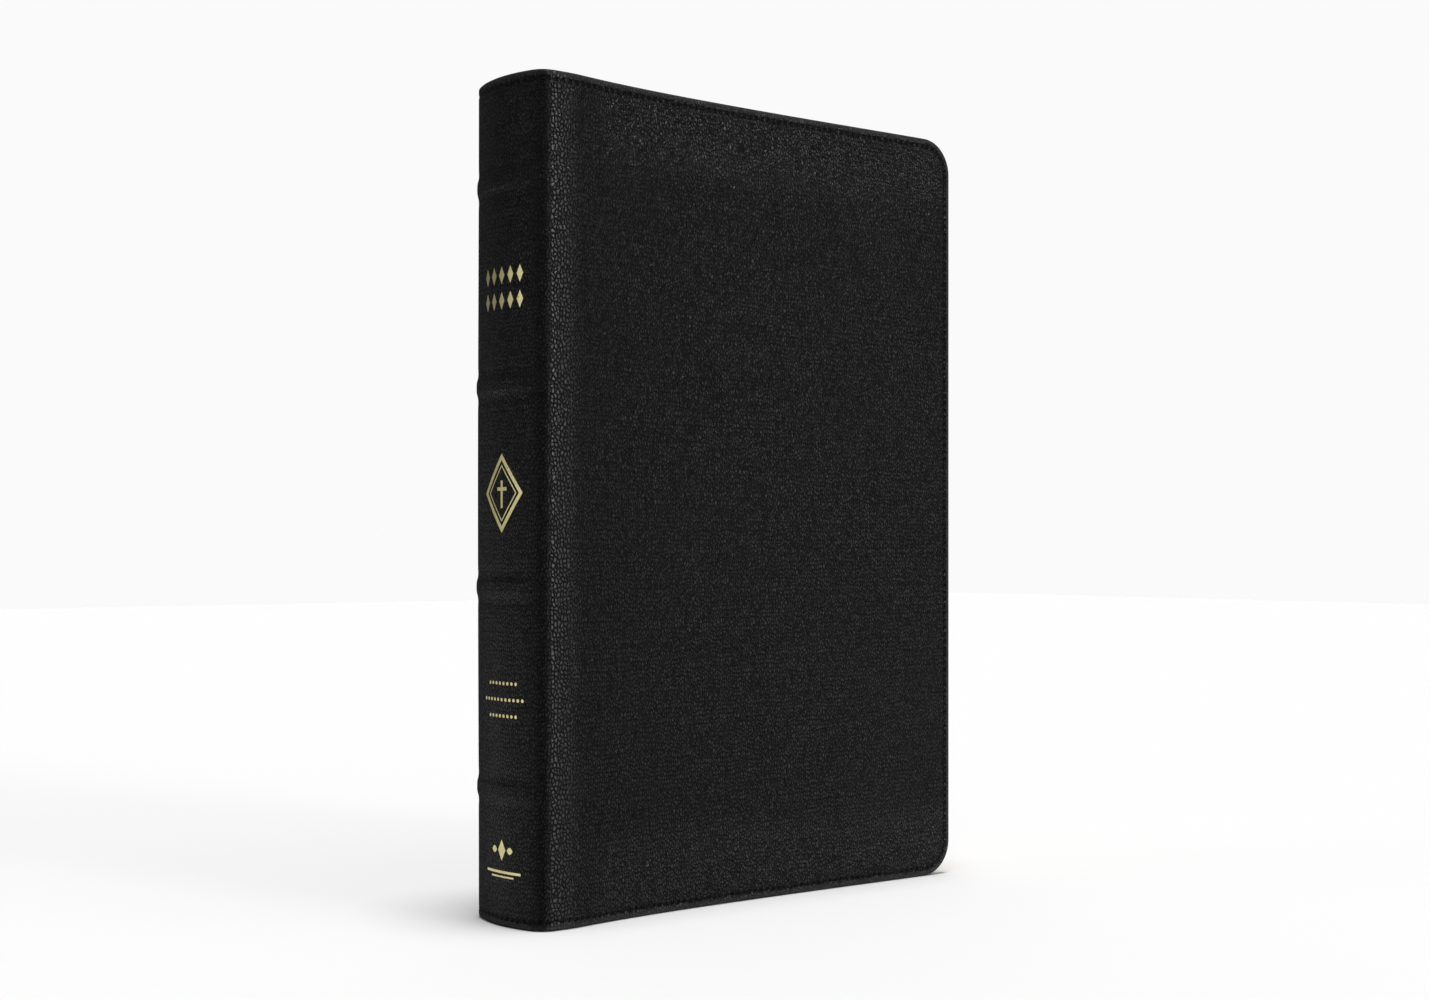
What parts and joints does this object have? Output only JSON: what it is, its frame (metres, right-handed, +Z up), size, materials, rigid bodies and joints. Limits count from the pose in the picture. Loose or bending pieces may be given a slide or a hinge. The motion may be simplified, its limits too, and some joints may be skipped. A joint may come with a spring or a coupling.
{
  "type": "bible",
  "caption": "Thick leather-bound Bible with a rounded spine and raised bands; its covers open on the shoulders and the first and last leaves fan out after them.",
  "frame": {"origin": "middle of the tail edge, on the surface that the closed book stands on", "axes": "+Z up from tail to head, -X towards the spine, +X towards the fore-edge, -Y out of the front cover, +Y out of the back cover"},
  "size_m": [0.166, 0.0354, 0.24],
  "materials": {
    "cover_leather": "pebbled full-grain, soft sheen",
    "lining": "smooth",
    "board": "matte",
    "cloth": "open weave",
    "band_thread": "wound silk",
    "pages": "thin India paper, gilt edges",
    "flyleaf": "heavier laid paper",
    "foil": "hot-stamped gold foil",
    "stitching": "waxed thread"
  },
  "bodies": {
    "book_block": {"spine_leather": "cover_leather", "spine_stiffener": "board", "spine_hollow_tube": "board", "spine_mull_cloth": "cloth", "raised_band_strip_1": "board", "raised_band_strip_2": "board", "raised_band_strip_3": "board", "raised_band_strip_4": "board", "sewing_tape_1": "cloth", "sewing_tape_2": "cloth", "sewing_tape_3": "cloth", "headband": "band_thread", "tailband": "band_thread", "signature_07": "pages", "signature_08": "pages", "signature_09": "pages", "signature_10": "pages", "signature_11": "pages", "signature_12": "pages", "signature_13": "pages", "signature_14": "pages", "signature_15": "pages", "signature_16": "pages", "signature_17": "pages", "signature_18": "pages"},
    "front_cover": {"front_cover_leather": "cover_leather", "front_cover_board": "board", "front_cover_lining": "lining"},
    "front_flyleaf": {"front_flyleaf": "flyleaf"},
    "front_leaves_1": {"signature_01": "pages", "signature_02": "pages"},
    "front_leaves_2": {"signature_03": "pages", "signature_04": "pages"},
    "front_leaves_3": {"signature_05": "pages", "signature_06": "pages"},
    "back_cover": {"back_cover_leather": "cover_leather", "back_cover_board": "board", "back_cover_lining": "lining"},
    "back_flyleaf": {"back_flyleaf": "flyleaf"},
    "back_leaves_1": {"signature_23": "pages", "signature_24": "pages"},
    "back_leaves_2": {"signature_21": "pages", "signature_22": "pages"},
    "back_leaves_3": {"signature_19": "pages", "signature_20": "pages"}
  },
  "joints": [
    {"name": "front_cover_hinge", "type": "hinge", "parent": "book_block", "child": "front_cover", "pos_m": [-0.0775, -0.0178, 0.12], "axis": [0, 0, -1], "range_deg": [0, 178]},
    {"name": "front_flyleaf_turn", "type": "hinge", "parent": "book_block", "child": "front_flyleaf", "pos_m": [-0.0775, -0.0178, 0.12], "axis": [0, 0, -1], "range_deg": [0, 153]},
    {"name": "front_leaves_1_turn", "type": "hinge", "parent": "book_block", "child": "front_leaves_1", "pos_m": [-0.0775, -0.0178, 0.12], "axis": [0, 0, -1], "range_deg": [0, 108]},
    {"name": "front_leaves_2_turn", "type": "hinge", "parent": "book_block", "child": "front_leaves_2", "pos_m": [-0.0775, -0.0178, 0.12], "axis": [0, 0, -1], "range_deg": [0, 63]},
    {"name": "front_leaves_3_turn", "type": "hinge", "parent": "book_block", "child": "front_leaves_3", "pos_m": [-0.0775, -0.0178, 0.12], "axis": [0, 0, -1], "range_deg": [0, 27]},
    {"name": "back_cover_hinge", "type": "hinge", "parent": "book_block", "child": "back_cover", "pos_m": [-0.0775, 0.0178, 0.12], "axis": [0, 0, 1], "range_deg": [0, 178]},
    {"name": "back_flyleaf_turn", "type": "hinge", "parent": "book_block", "child": "back_flyleaf", "pos_m": [-0.0775, 0.0178, 0.12], "axis": [0, 0, 1], "range_deg": [0, 153]},
    {"name": "back_leaves_1_turn", "type": "hinge", "parent": "book_block", "child": "back_leaves_1", "pos_m": [-0.0775, 0.0178, 0.12], "axis": [0, 0, 1], "range_deg": [0, 108]},
    {"name": "back_leaves_2_turn", "type": "hinge", "parent": "book_block", "child": "back_leaves_2", "pos_m": [-0.0775, 0.0178, 0.12], "axis": [0, 0, 1], "range_deg": [0, 63]},
    {"name": "back_leaves_3_turn", "type": "hinge", "parent": "book_block", "child": "back_leaves_3", "pos_m": [-0.0775, 0.0178, 0.12], "axis": [0, 0, 1], "range_deg": [0, 27]}
  ],
  "couplings": [
    {"joint": "front_flyleaf_turn", "follows": "front_cover_hinge", "ratio": 0.85},
    {"joint": "front_leaves_1_turn", "follows": "front_cover_hinge", "ratio": 0.6},
    {"joint": "front_leaves_2_turn", "follows": "front_cover_hinge", "ratio": 0.35},
    {"joint": "front_leaves_3_turn", "follows": "front_cover_hinge", "ratio": 0.15},
    {"joint": "back_flyleaf_turn", "follows": "back_cover_hinge", "ratio": 0.85},
    {"joint": "back_leaves_1_turn", "follows": "back_cover_hinge", "ratio": 0.6},
    {"joint": "back_leaves_2_turn", "follows": "back_cover_hinge", "ratio": 0.35},
    {"joint": "back_leaves_3_turn", "follows": "back_cover_hinge", "ratio": 0.15}
  ]
}
